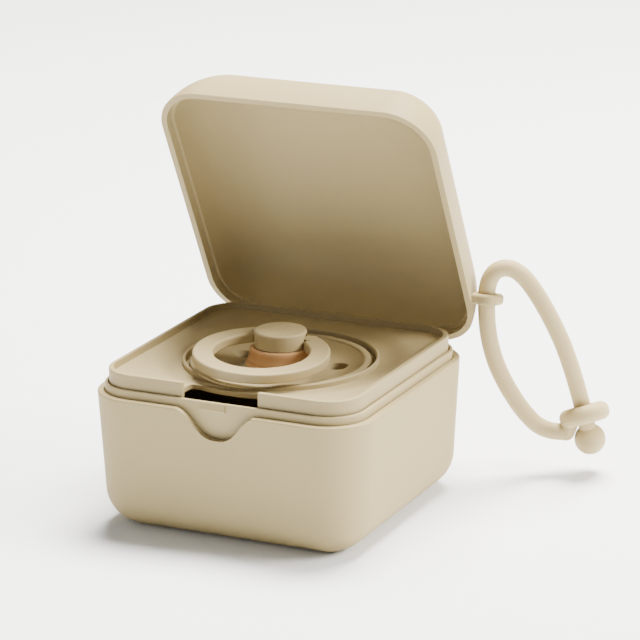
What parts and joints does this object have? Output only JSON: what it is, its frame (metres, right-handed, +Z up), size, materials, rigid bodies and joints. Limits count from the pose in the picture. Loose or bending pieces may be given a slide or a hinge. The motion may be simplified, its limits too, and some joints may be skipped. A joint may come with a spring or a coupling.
{
  "type": "pacifier sterilizer case",
  "caption": "Beige pacifier sterilizer case, lid standing open: shell, liner cup, lift-out tray holding a pacifier, and a silicone strap on the lid's lug.",
  "frame": {"origin": "centre of the base's flat underside", "axes": "+Z up, +Y towards the hinge, +X towards the strap lug, notch on -Y"},
  "size_m": [0.103, 0.0934, 0.1023],
  "materials": {
    "shell_plastic": "matte",
    "tray_plastic": "matte",
    "silicone": "soft matte",
    "pacifier_plastic": "satin",
    "latex": "soft, slightly glossy",
    "steel": "drawn"
  },
  "bodies": {
    "base": {"outer_case": "shell_plastic", "liner_cup": "shell_plastic", "latch_pad": "shell_plastic", "hinge_pin": "steel", "insert_tray": "tray_plastic"},
    "lid": {"lid": "shell_plastic", "strap_cord": "silicone", "strap_link": "silicone", "strap_ball": "silicone"},
    "pacifier": {"pacifier_shield": "pacifier_plastic", "pacifier_knob": "pacifier_plastic", "pacifier_teat": "latex", "pacifier_plug": "pacifier_plastic"},
    "ring": {"pacifier_ring": "pacifier_plastic"}
  },
  "joints": [
    {"name": "lid_hinge", "type": "hinge", "parent": "base", "child": "lid", "pos_m": [0, 0.0376, 0.033], "axis": [-1, 0, 0], "range_deg": [-63.26, 46]},
    {"name": "pacifier_lift", "type": "slide", "parent": "base", "child": "pacifier", "axis": [0, 0, 1], "range_m": [0, 0.045]},
    {"name": "ring_swing", "type": "hinge", "parent": "pacifier", "child": "ring", "pos_m": [0, 0.0017, 0.04212], "axis": [-0.9995, 0, 0.033], "range_deg": [0, 75]}
  ],
  "couplings": [
    {"joint": "ring_swing", "follows": "pacifier_lift", "rad_per_m": 29}
  ]
}
